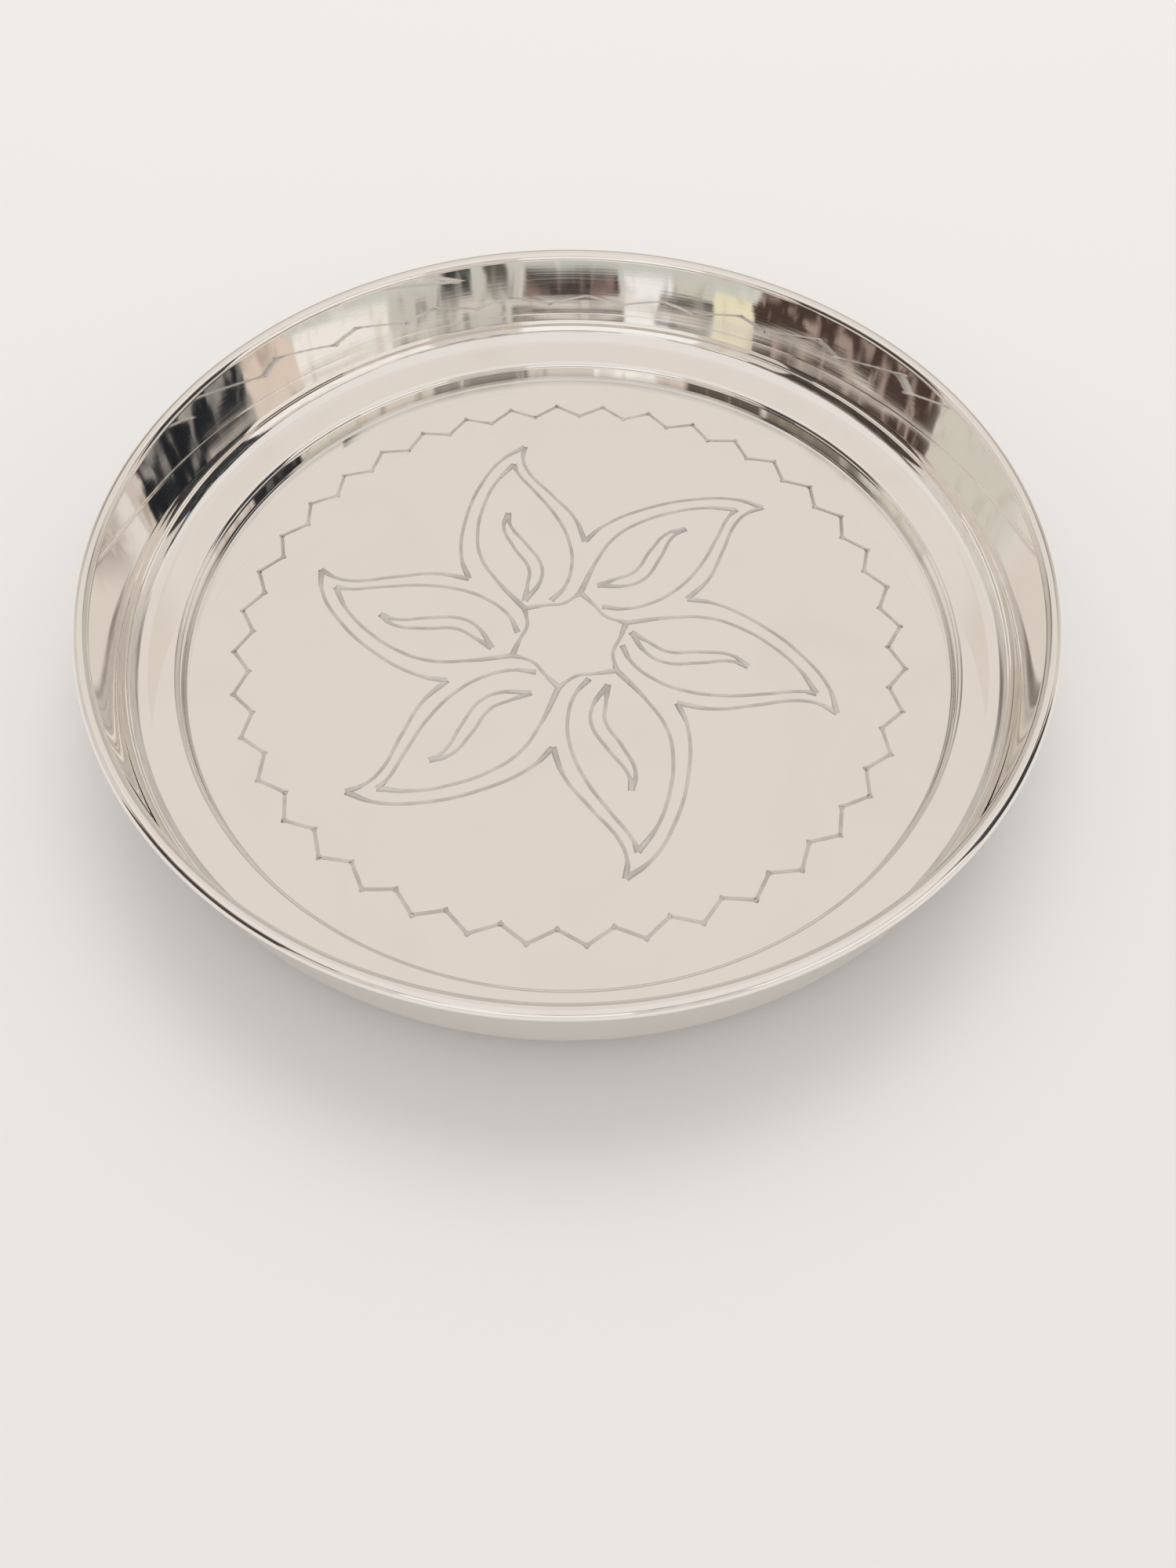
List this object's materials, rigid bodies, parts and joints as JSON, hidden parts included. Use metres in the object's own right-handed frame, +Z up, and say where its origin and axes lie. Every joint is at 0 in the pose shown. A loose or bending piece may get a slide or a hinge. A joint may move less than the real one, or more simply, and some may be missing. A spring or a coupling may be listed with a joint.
{
  "type": "puja thali",
  "caption": "Round polished metal ritual plate with an engraved flower and zigzag in its flat well, a raised ledge, an upright wall and a rolled, wired rim.",
  "frame": {"origin": "middle of the flat underside of the well, where the plate stands on the table", "axes": "+Z up along the plate's axis, +Y away from the viewer of the picture, +X to the right"},
  "size_m": [0.23, 0.23, 0.033],
  "materials": {
    "polished_silver": "mirror-polished silver, with shallow engraved lines",
    "wire": "drawn steel wire, hidden in the rolled rim"
  },
  "bodies": {
    "root": {"dish": "polished_silver", "rim_wire": "wire"}
  },
  "joints": []
}
